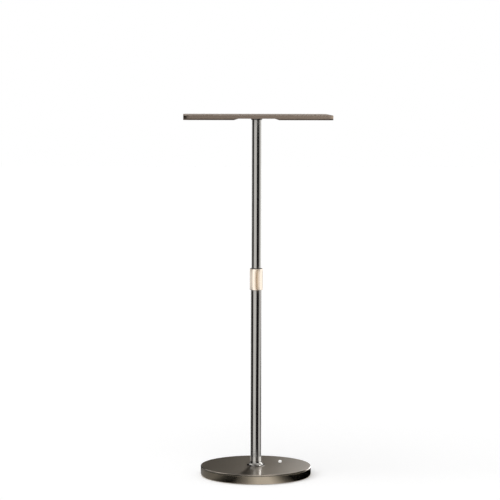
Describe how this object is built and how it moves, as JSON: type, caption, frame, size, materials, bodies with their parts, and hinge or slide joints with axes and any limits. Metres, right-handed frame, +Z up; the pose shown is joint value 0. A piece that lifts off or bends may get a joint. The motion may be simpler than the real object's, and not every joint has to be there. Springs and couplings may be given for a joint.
{
  "type": "portable projector stand",
  "caption": "Free-standing projector stand: weighted round base, telescopic pole with a twist-lock collar, and a flat sheet-metal tray that swivels on top.",
  "frame": {"origin": "on the floor, under the pole's axis", "axes": "+Z up along the pole, -Y the front of the tray, +X to the right as seen from the front"},
  "size_m": [0.372, 0.282, 0.922],
  "materials": {
    "cast_weight": "painted black casting",
    "base_cover_metal": "satin warm grey",
    "base_band_metal": "polished champagne",
    "pad_rubber": "matt",
    "button_white": "gloss",
    "fastener_steel": "zinc plated",
    "pole_metal": "polished dark nickel",
    "lock_plastic": "matt black",
    "collar_metal": "satin rose gold",
    "seat_metal": "blackened",
    "plate_metal": "black powder coat",
    "tray_metal": "satin champagne bronze",
    "trim_plastic": "dark brown"
  },
  "bodies": {
    "stand": {"base_weight": "cast_weight", "base_cover": "base_cover_metal", "base_band": "base_band_metal", "floor_pads": "pad_rubber", "base_button": "button_white", "base_bolt": "fastener_steel", "base_washer": "fastener_steel", "foot_flange": "pole_metal", "lower_tube": "pole_metal", "lock_head": "lock_plastic", "lock_collet": "lock_plastic"},
    "collar": {"lock_collar": "collar_metal"},
    "mast": {"upper_tube": "pole_metal", "glide_bush": "lock_plastic", "swivel_seat": "seat_metal", "swivel_washer": "lock_plastic"},
    "tray": {"tray_plate": "plate_metal", "tray_studs": "fastener_steel", "plate_nuts": "fastener_steel", "tray_pan": "tray_metal", "left_edge_trim": "trim_plastic", "right_edge_trim": "trim_plastic"}
  },
  "joints": [
    {"name": "height_slide", "type": "slide", "parent": "stand", "child": "mast", "axis": [0, 0, 1], "range_m": [-0.3, 0]},
    {"name": "collar_twist", "type": "hinge", "parent": "stand", "child": "collar", "pos_m": [0, 0, 0.504], "axis": [0, 0, 1], "range_deg": [0, 90]},
    {"name": "tray_swivel", "type": "hinge", "parent": "mast", "child": "tray", "pos_m": [0, 0, 0.9144], "axis": [0, 0, 1], "continuous": true}
  ]
}
